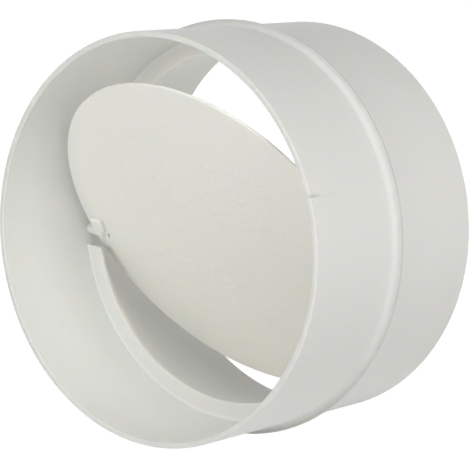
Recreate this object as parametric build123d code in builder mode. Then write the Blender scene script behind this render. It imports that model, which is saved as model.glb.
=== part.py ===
from build123d import *
from math import cos, radians, sin, sqrt
import os

# Round duct connector with a back-draft flap, in millimetres.
# X lies along the flap's pivot, Y runs along the duct from front to rear, Z is up.
# The origin is on the duct's axis, halfway along the tube.

# Tube: two equal spigots that push into round duct
spigot_diameter = 99.4
wall = 1.5
length = 61.8
rim_lead_in = 0.5
rim_inner_chamfer = 0.3

# Stop bead round the middle, with hollow flanks that run up to a narrow crest
bead_height = 1.65
bead_crest_width = 0.6
bead_flank_run = 1.9
bead_crest_round = 0.2

# Pivot line, measured from the duct's axis and from the middle of the tube
pivot_drop = 10.8
pivot_setback = 1.1

# Flap, drawn part open; at an opening of zero it lies square across the duct
flap_opening = 33.8
flap_thickness = 0.8
flap_wall_gap = 1.45
flap_edge_round = 0.25

# Two half-ring seats: the lower one in front of the closed flap, the upper one behind it
seat_width = 4.5
seat_thickness = 1.4
seat_clearance = 0.2
seat_pivot_gap = 3.85
seat_edge_round = 0.35

# Pins moulded on the flap, and the blind bearing holes for them in the wall under the bead
pin_diameter = 2.8
pin_clearance = 0.08
pin_end_clearance = 0.25
pin_inset = 4.3
pin_root_taper = 0.9
pin_tip_chamfer = 0.3
bearing_depth = 0.9

# Square lug on the flap's front face above each pin
lug_width = 4.0
lug_length = 4.0
lug_height = 1.1
lug_rim_gap = 0.9
lug_pivot_gap = 1.1
lug_corner_round = 0.9
lug_edge_chamfer = 0.3

# Small slot through the flap at the inner end of each pin
slot_width = 0.8
slot_length = 1.9
slot_pin_gap = 0.45
slot_drop = 0.4

# Sizes that follow from the ones above
spigot_radius = spigot_diameter / 2
inner_radius = spigot_radius - wall
bead_radius = spigot_radius + bead_height
bead_foot = bead_crest_width / 2 + bead_flank_run
seat_radius = inner_radius - seat_width
seat_root_radius = inner_radius + wall / 2
seat_face_gap = flap_thickness / 2 + seat_clearance
lower_seat_back = pivot_setback - seat_face_gap
lower_seat_end = -pivot_drop - seat_pivot_gap
upper_seat_back = pivot_setback + seat_face_gap + seat_thickness
upper_seat_end = -pivot_drop + seat_pivot_gap
flap_radius = inner_radius - flap_wall_gap
pin_radius = pin_diameter / 2
bearing_radius = pin_radius + pin_clearance
bearing_end = sqrt(inner_radius**2 - pivot_drop**2) + bearing_depth
pin_end = bearing_end - pin_end_clearance
flap_edge_at_pivot = sqrt(flap_radius**2 - pivot_drop**2)
pin_root = flap_edge_at_pivot - pin_inset
lug_center = flap_edge_at_pivot - lug_rim_gap - lug_width / 2
lug_rise = lug_pivot_gap + lug_length / 2
slot_center = pin_root - slot_pin_gap - slot_width / 2
pivot_axis = Axis((0, pivot_setback, -pivot_drop), (1, 0, 0))


# Plane across the tube at a distance behind its middle, facing the front
def cross_plane(distance):
    return Plane(origin=(0, distance, 0), x_dir=(1, 0, 0), z_dir=(0, -1, 0))


# Plane along the pivot with its own X pointing out to one side
def pin_plane(side):
    return Plane(origin=pivot_axis.position, x_dir=(side, 0, 0), z_dir=(0, 1, 0))


# Inner or outer corners of a section at the tube's two open ends
def end_corners(section, place):
    rows = section.vertices().group_by(Axis.Y)
    return [rows[0].sort_by(Axis.X)[place], rows[-1].sort_by(Axis.X)[place]]


# Body: tube, bead, seats and bearing holes in one moulding
with BuildPart() as connector_body:
    with BuildSketch() as tube_section:
        with BuildLine():
            end_face = Line((inner_radius, -length / 2), (spigot_radius, -length / 2))
            spigot_side = Line(end_face @ 1, (spigot_radius, -bead_foot))
            flank_top = (bead_radius, -bead_crest_width / 2)
            flank = TangentArc(spigot_side @ 1, flank_top, tangent=(0, 1))
            half_crest = Line(flank @ 1, (bead_radius, 0))
            half_bore = Line(end_face @ 0, (inner_radius, 0))
            mirror(about=Plane.XZ)
        make_face()
        fillet(end_corners(tube_section, -1), rim_lead_in)
        chamfer(end_corners(tube_section, 0), rim_inner_chamfer)
        crest_corners = tube_section.vertices().group_by(Axis.X)[-1].sort_by(Axis.Y)
        fillet([crest_corners[0], crest_corners[-1]], bead_crest_round)
    revolve(axis=Axis.Y)

    for back, end, keep in (
        (lower_seat_back, lower_seat_end, Align.MAX),
        (upper_seat_back, upper_seat_end, Align.MIN),
    ):
        with BuildSketch(cross_plane(back)):
            Circle(seat_root_radius)
            Circle(seat_radius, mode=Mode.SUBTRACT)
            with Locations((0, end)):
                Rectangle(
                    2 * spigot_diameter,
                    spigot_diameter,
                    align=(Align.CENTER, keep),
                    mode=Mode.INTERSECT,
                )
        extrude(amount=seat_thickness)
        seat_arcs = connector_body.edges(Select.LAST).filter_by(GeomType.CIRCLE)
        fillet(seat_arcs.group_by(SortBy.RADIUS)[0], seat_edge_round)

    with BuildSketch(Plane(origin=pivot_axis.position, z_dir=pivot_axis.direction)):
        Circle(bearing_radius)
    extrude(amount=bearing_end, both=True, mode=Mode.SUBTRACT)

# Flap: its own plane has X along the pivot, Y up the flap and Z out of its front face
opening_angle = radians(flap_opening)
flap_plane = Plane(
    origin=pivot_axis.position,
    x_dir=(1, 0, 0),
    z_dir=(0, -cos(opening_angle), -sin(opening_angle)),
)

with BuildPart() as flap:
    with BuildSketch(flap_plane):
        with Locations((0, pivot_drop)):
            Circle(flap_radius)
    extrude(amount=flap_thickness / 2, both=True)
    fillet(flap.edges().filter_by(GeomType.CIRCLE), flap_edge_round)

    for side in (-1, 1):
        with BuildSketch(pin_plane(side)):
            with BuildLine():
                Polyline(
                    (pin_root, 0),
                    (pin_root + pin_root_taper, pin_radius),
                    (pin_end - pin_tip_chamfer, pin_radius),
                    (pin_end, pin_radius - pin_tip_chamfer),
                    (pin_end, 0),
                    close=True,
                )
            make_face()
        revolve(axis=pivot_axis)

    with BuildSketch(flap_plane.offset(flap_thickness / 2)):
        with Locations((lug_center, lug_rise), (-lug_center, lug_rise)):
            RectangleRounded(lug_width, lug_length, lug_corner_round)
    extrude(amount=lug_height)
    lug_tops = flap.faces().sort_by(Axis(flap_plane.origin, flap_plane.z_dir))[-2:]
    chamfer(lug_tops.edges(), lug_edge_chamfer)

    with BuildSketch(flap_plane):
        with Locations((slot_center, -slot_drop), (-slot_center, -slot_drop)):
            SlotOverall(slot_length, slot_width, rotation=90)
    extrude(amount=flap_thickness, both=True, mode=Mode.SUBTRACT)

connector_body.part.label = "connector_body"
flap.part.label = "flap"

os.makedirs("parts", exist_ok=True)
export_step(connector_body.part, "parts/connector_body.step")
export_step(flap.part, "parts/flap.step")
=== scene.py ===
import math

import bmesh
import bpy
from mathutils import Matrix, Vector


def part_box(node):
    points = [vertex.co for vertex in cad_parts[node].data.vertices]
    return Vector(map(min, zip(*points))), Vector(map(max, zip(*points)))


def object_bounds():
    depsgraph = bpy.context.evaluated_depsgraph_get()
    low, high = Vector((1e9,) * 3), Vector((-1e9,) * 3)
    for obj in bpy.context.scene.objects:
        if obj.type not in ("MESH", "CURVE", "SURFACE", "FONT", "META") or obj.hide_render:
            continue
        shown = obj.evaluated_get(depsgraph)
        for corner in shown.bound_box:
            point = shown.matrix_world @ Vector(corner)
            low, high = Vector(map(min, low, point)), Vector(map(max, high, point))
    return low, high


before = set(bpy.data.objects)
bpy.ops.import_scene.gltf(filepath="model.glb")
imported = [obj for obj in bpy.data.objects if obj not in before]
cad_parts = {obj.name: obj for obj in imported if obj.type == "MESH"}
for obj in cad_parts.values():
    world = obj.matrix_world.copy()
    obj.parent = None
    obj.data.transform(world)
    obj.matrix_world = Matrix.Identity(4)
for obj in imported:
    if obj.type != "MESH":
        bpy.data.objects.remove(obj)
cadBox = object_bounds()  # the CAD model's own box, before anything is added
print("frame loaded:", ", ".join(sorted(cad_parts)))


# A socket of a node tree: maths on it adds Math nodes, node() adds any other node
class Wire:
    def __init__(self, tree, socket=None):
        self.tree = tree
        self.socket = socket

    def node(self, kind, settings=None, sockets=None, out=0):
        made = self.tree.nodes.new(kind)
        for name, value in (settings or {}).items():
            setattr(made, name, value)
        for name, value in (sockets or {}).items():
            if isinstance(value, Wire):
                self.tree.links.new(value.socket, made.inputs[name])
            else:
                made.inputs[name].default_value = value
        if isinstance(out, tuple):
            return [Wire(self.tree, made.outputs[name]) for name in out]
        return Wire(self.tree, made.outputs[out] if made.outputs else None)

    def maths(self, operation, first, second=0.0):
        return self.node("ShaderNodeMath", {"operation": operation}, {0: first, 1: second})

    def vectors(self, operation, first, second):
        return self.node("ShaderNodeVectorMath", {"operation": operation}, {0: first, 1: second})

    def clamped(self):
        return self.node("ShaderNodeClamp", None, {"Value": self})

    # eased step: 0 at the first value, 1 at the second
    def eased(self, first, second):
        limits = {"Value": self, "From Min": first, "From Max": second}
        return self.node("ShaderNodeMapRange", {"interpolation_type": "SMOOTHSTEP"}, limits)

    # noise about zero, from -0.5 to 0.5, read at this vector
    def ripple(self, scale, detail=2.0):
        grown = {"Vector": self, "Scale": scale, "Detail": detail}
        return self.node("ShaderNodeTexNoise", None, grown) - 0.5

    def __add__(self, other):
        return self.maths("ADD", self, other)

    def __sub__(self, other):
        return self.maths("SUBTRACT", self, other)

    def __mul__(self, other):
        return self.maths("MULTIPLY", self, other)

    def __abs__(self):
        return self.maths("ABSOLUTE", self)

    def __radd__(self, other):
        return self.maths("ADD", other, self)

    def __rsub__(self, other):
        return self.maths("SUBTRACT", other, self)

    def __rmul__(self, other):
        return self.maths("MULTIPLY", other, self)


# Moulded off-white plastic, slightly translucent; lengths in metres
plastic = dict(
    colour=(0.726, 0.731, 0.703),
    roughness=0.55,
    specular=0.30,
    depthWeight=0.5,
    depthScale=0.0015,
    depthRadius=(1.0, 0.78, 0.5),
)


# Tone and roughness swing about the plain values, height is in metres
def makePlastic(name, start, tone, rough, height, marks=()):
    tinted = {0: plastic["colour"], "Scale": tone}
    shade = start.node("ShaderNodeVectorMath", {"operation": "SCALE"}, tinted)
    for mask, colour in marks:
        blended = {0: mask, 6: shade, 7: colour}  # a colour Mix takes its two colours at 6 and 7
        shade = start.node("ShaderNodeMix", {"data_type": "RGBA"}, blended, out=2)
    relief = start.node("ShaderNodeBump", None, {"Strength": 1.0, "Distance": 1.0, "Height": height})
    shader = start.node(
        "ShaderNodeBsdfPrincipled",
        None,
        {
            "Base Color": shade,
            "Roughness": (rough + plastic["roughness"]).clamped(),
            "Specular IOR Level": plastic["specular"],
            "Subsurface Weight": plastic["depthWeight"],
            "Subsurface Scale": plastic["depthScale"],
            "Subsurface Radius": plastic["depthRadius"],
            "Normal": relief,
        },
    )
    start.node("ShaderNodeOutputMaterial", None, {"Surface": shader})
    print("material:", name)


def newMaterial(name):
    material = bpy.data.materials.new(name)
    material.use_nodes = True
    material.node_tree.nodes.clear()
    return material, Wire(material.node_tree)


speckShape = dict(
    core=0.4,  # share of the radius at full strength
    drawStep=0.02,  # how sharply cells with a dot part from cells without one
)


# Specks of dust moulded in: a soft round dot in a share of the cells
def specks(place, start, cell, radius, share):
    wanted = {"Vector": place, "Scale": 1.0 / cell}
    distance, colour = start.node("ShaderNodeTexVoronoi", None, wanted, out=("Distance", "Color"))
    chance = start.node("ShaderNodeSeparateColor", None, {"Color": colour}, out="Red")
    dot = 1.0 - distance.eased(speckShape["core"] * radius / cell, radius / cell)
    bareShare = 1.0 - share
    return dot * chance.eased(bareShare, bareShare + speckShape["drawStep"])


bodyFinish = dict(
    mottleSize=0.035,
    mottleTone=0.030,
    streakSize=0.0035,  # drawn out along the duct
    streakStretch=0.06,
    streakTone=0.014,
    grainSize=0.0004,
    grainTone=0.020,
    grainHeight=0.000006,
    waveSize=0.012,
    waveHeight=0.00003,
    roughSwing=0.10,
    rimReach=0.0009,  # along the duct from each rim
    crestReach=0.0017,  # down from the bead's crest
    # painted shade on the rims, the bead's crest and the seats: darker tone where the lamps light them
    # most
    rimPaintedShade=-0.18,  # greyer where the front lamp falls square on
    crestPaintedShade=-0.28,
    edgeRough=0.08,
    edgePatchSize=0.0025,
    edgeLevel=0.9,
    edgeSwing=0.4,
    seatPaintedShade=-0.10,
    seatReach=(0.0468, 0.0481),  # full tone up to the first radius, none past the second
    speckCell=0.009,
    speckRadius=0.00018,
    speckShare=0.35,
    speckColour=(0.42, 0.40, 0.36, 1.0),
    speckStrength=0.5,
)

# Scuff on the outside of the front spigot, and the faint line that runs on from it
scuff = dict(
    angle=math.radians(24.75),
    darkEnd=-0.0298,
    end=-0.0262,
    halfWidth=0.00052,
    core=0.3,  # share of the half width at full strength
    colour=(0.30, 0.30, 0.27, 1.0),
    strength=0.60,
    lineAngle=math.radians(24.5),
    lineEnd=-0.0165,
    lineHalfWidth=0.00045,
    lineStrength=0.09,
    outside=(0.0490, 0.0494),  # nothing up to the first radius, full strength past the second
    raggedScale=900.0,
    raggedLevel=0.75,
)


def bodyMaterial():
    material, start = newMaterial("bodyPlastic")
    look = bodyFinish
    place = start.node("ShaderNodeTexCoord", out="Object")
    x, y, z = start.node("ShaderNodeSeparateXYZ", None, {"Vector": place}, out=("X", "Y", "Z"))
    radius = start.maths("SQRT", x * x + z * z)
    angle = start.maths("ARCTAN2", z, x)
    drawnOut = start.vectors("MULTIPLY", place, (1.0, look["streakStretch"], 1.0))
    mottle = place.ripple(1.0 / look["mottleSize"], detail=3.0)
    streak = drawnOut.ripple(1.0 / look["streakSize"])
    grain = place.ripple(1.0 / look["grainSize"])
    wave = place.ripple(1.0 / look["waveSize"], detail=1.0)

    # painted shade: both rims, the bead's crest and the seats are greyed where the lamps light them
    # most
    rimPlace = cadBox[1].y
    crestPlace = cadBox[1].x
    rims = abs(y).eased(rimPlace - look["rimReach"], rimPlace)
    crest = radius.eased(crestPlace - look["crestReach"], crestPlace)
    patchy = look["edgeLevel"] + look["edgeSwing"] * place.ripple(1.0 / look["edgePatchSize"])
    seats = 1.0 - radius.eased(*look["seatReach"])
    paintedShade = (rims * look["rimPaintedShade"] + crest * look["crestPaintedShade"] + seats * look["seatPaintedShade"]) * patchy

    tone = 1.0 + mottle * look["mottleTone"] + streak * look["streakTone"]
    tone = tone + grain * look["grainTone"] + paintedShade
    rough = mottle * look["roughSwing"] + start.maths("MAXIMUM", rims, crest) * look["edgeRough"]
    height = grain * look["grainHeight"] + wave * look["waveHeight"]

    outside = radius.eased(*scuff["outside"])
    ragged = scuff["raggedLevel"] + place.ripple(scuff["raggedScale"], detail=3.0)
    across = abs(angle - scuff["angle"]) * radius
    band = 1.0 - across.eased(scuff["core"] * scuff["halfWidth"], scuff["halfWidth"])
    fade = 1.0 - y.eased(scuff["darkEnd"], scuff["end"])
    dark = (band * fade * outside * ragged * scuff["strength"]).clamped()
    lineAcross = abs(angle - scuff["lineAngle"]) * radius
    line = 1.0 - lineAcross.eased(0.0, scuff["lineHalfWidth"])
    lineFade = 1.0 - y.eased(scuff["end"], scuff["lineEnd"])
    faint = (line * lineFade * outside * ragged * scuff["lineStrength"]).clamped()
    dots = specks(place, start, look["speckCell"], look["speckRadius"], look["speckShare"])
    marks = (
        (dots * look["speckStrength"], look["speckColour"]),
        (faint, scuff["colour"]),
        (dark, scuff["colour"]),
    )
    makePlastic("bodyPlastic", start, tone, rough, height, marks)
    return material


flapFinish = dict(
    mottleSize=0.030,
    mottleTone=0.024,
    flowSize=0.0008,  # fine cloudy flow marks, drawn out along the pivot
    flowStretch=0.45,
    flowTone=0.18,
    patchSize=0.007,  # the marks come and go in patches of this size
    patchEdge=(-0.15, 0.15),
    flowHeight=0.000010,
    flowReach=(0.024, 0.046),  # full strength out to the first radius, none past the second
    grainSize=0.0004,
    grainTone=0.020,
    grainHeight=0.000006,
    roughSwing=0.10,
    speckCell=0.008,
    speckRadius=0.00016,
    speckShare=0.30,
    speckColour=(0.42, 0.40, 0.36, 1.0),
    speckStrength=0.45,
)


def flapMaterial():
    material, start = newMaterial("flapPlastic")
    look = flapFinish
    low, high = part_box("flap")
    middle = (low + high) / 2
    place = start.node("ShaderNodeTexCoord", out="Object")
    drawnOut = start.vectors("MULTIPLY", place, (look["flowStretch"], 1.0, 1.0))
    mottle = place.ripple(1.0 / look["mottleSize"], detail=3.0)
    flow = drawnOut.ripple(1.0 / look["flowSize"], detail=3.0)
    grain = place.ripple(1.0 / look["grainSize"])
    ends = {0: place, 1: middle}
    reach = start.node("ShaderNodeVectorMath", {"operation": "DISTANCE"}, ends, out="Value")
    patches = place.ripple(1.0 / look["patchSize"], detail=1.0).eased(*look["patchEdge"])
    cloudy = flow * patches * (1.0 - reach.eased(*look["flowReach"]))
    tone = 1.0 + mottle * look["mottleTone"] + cloudy * look["flowTone"] + grain * look["grainTone"]
    rough = (mottle + cloudy) * look["roughSwing"]
    height = cloudy * look["flowHeight"] + grain * look["grainHeight"]
    dots = specks(place, start, look["speckCell"], look["speckRadius"], look["speckShare"])
    marks = ((dots * look["speckStrength"], look["speckColour"]),)
    makePlastic("flapPlastic", start, tone, rough, height, marks)
    return material


for nodeName, finish in (("connector_body", bodyMaterial()), ("flap", flapMaterial())):
    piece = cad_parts[nodeName]
    piece.data.materials.clear()
    piece.data.materials.append(finish)
    print("finished:", nodeName)


# 1 for rays that show the background: straight from the camera, mirrored or through something clear
def backgroundRays(start):
    rays = ("Is Camera Ray", "Is Glossy Ray", "Is Transmission Ray")
    straight, mirrored, through = start.node("ShaderNodeLightPath", out=rays)
    return (straight + mirrored + through).clamped()


floor = dict(
    halfSize=6.0,
    bounceColour=(0.80, 0.80, 0.80, 1.0),
    bounceGlow=0.13,
    seenColour=(0.12, 0.12, 0.12, 1.0),
    seenGlow=0.97,
)


def makeFloor():
    mesh = bpy.data.meshes.new("floor")
    shape = bmesh.new()
    bmesh.ops.create_grid(shape, x_segments=1, y_segments=1, size=floor["halfSize"])
    bmesh.ops.translate(shape, verts=shape.verts, vec=(0, 0, cadBox[0].z))
    shape.to_mesh(mesh)
    shape.free()
    ground = bpy.data.objects.new("floor", mesh)
    bpy.context.scene.collection.objects.link(ground)
    material, start = newMaterial("paleFloor")
    sides = []
    for colour, glow in (("bounceColour", "bounceGlow"), ("seenColour", "seenGlow")):
        matt = start.node("ShaderNodeBsdfDiffuse", None, {"Color": floor[colour]})
        lit = start.node("ShaderNodeEmission", None, {"Strength": floor[glow]})
        sides.append(start.node("ShaderNodeAddShader", None, {0: matt, 1: lit}))
    chosen = {0: backgroundRays(start), 1: sides[0], 2: sides[1]}
    mixed = start.node("ShaderNodeMixShader", None, chosen)
    start.node("ShaderNodeOutputMaterial", None, {"Surface": mixed})
    mesh.materials.append(material)


makeFloor()
print("floor at", round(cadBox[0].z, 5))


studio = dict(
    worldFill=0.02,
    lamps=(
        dict(name="frontSoftbox", azimuth=3.0, elevation=5.0, distance=1.0, size=0.5, power=5.55),
        dict(name="topSoftbox", azimuth=45.0, elevation=54.0, distance=1.0, size=0.5, power=5.15),
        dict(name="rightSoftbox", azimuth=70.0, elevation=5.0, distance=1.0, size=0.5, power=2.1),
        dict(name="rightRearSoftbox", azimuth=114.0, elevation=8.0, distance=1.0, size=0.8, power=2.35),
        dict(name="rearLowLamp", azimuth=188.0, elevation=-4.6, distance=0.5, size=0.02, power=1.8),
        dict(name="leftSoftbox", azimuth=250.0, elevation=15.0, distance=1.0, size=0.8, power=4.0),
    ),
)


def towards(azimuth, elevation):
    around, above = math.radians(azimuth), math.radians(elevation)
    flat = math.cos(above)
    return Vector((math.sin(around) * flat, -math.cos(around) * flat, math.sin(above)))


def makeStudio():
    world = bpy.data.worlds.new("studio")
    bpy.context.scene.world = world
    world.use_nodes = True
    world.node_tree.nodes.clear()
    start = Wire(world.node_tree)
    strength = studio["worldFill"] + backgroundRays(start) * (1.0 - studio["worldFill"])
    sky = start.node("ShaderNodeBackground", None, {"Color": (1, 1, 1, 1), "Strength": strength})
    start.node("ShaderNodeOutputWorld", None, {"Surface": sky})
    for lamp in studio["lamps"]:
        light = bpy.data.lights.new(lamp["name"], "AREA")
        light.shape = "DISK"
        light.size = lamp["size"]
        light.energy = lamp["power"]
        holder = bpy.data.objects.new(lamp["name"], light)
        back = towards(lamp["azimuth"], lamp["elevation"])
        holder.location = back * lamp["distance"]
        holder.rotation_mode = "QUATERNION"
        holder.rotation_quaternion = (-back).to_track_quat("-Z", "Y")
        bpy.context.scene.collection.objects.link(holder)


makeStudio()
print("studio lamps:", len(studio["lamps"]))


photoView = dict(
    azimuth=37.81,
    elevation=12.77,
    roll=6.45,
    distance=0.5803,
    aim=(0.00103, 0.00034, -0.00159),
    lens=180.15,
    sensor=36.0,
    nearest=0.01,
    farthest=50.0,
)


def makeCamera():
    data = bpy.data.cameras.new("photoCamera")
    data.lens = photoView["lens"]
    data.sensor_width = photoView["sensor"]
    data.sensor_fit = "HORIZONTAL"
    data.clip_start = photoView["nearest"]
    data.clip_end = photoView["farthest"]
    camera = bpy.data.objects.new("photoCamera", data)
    back = towards(photoView["azimuth"], photoView["elevation"])
    level = Vector((0, 0, 1)).cross(back).normalized()
    upright = back.cross(level)
    lean = math.radians(photoView["roll"])
    right = level * math.cos(lean) + upright * math.sin(lean)
    up = upright * math.cos(lean) - level * math.sin(lean)
    turn = Matrix((right, up, back)).transposed().to_4x4()
    place = Vector(photoView["aim"]) + back * photoView["distance"]
    camera.matrix_world = Matrix.Translation(place) @ turn
    bpy.context.scene.collection.objects.link(camera)
    bpy.context.scene.camera = camera


makeCamera()
bpy.context.scene.view_settings.view_transform = "Standard"
print("camera set")
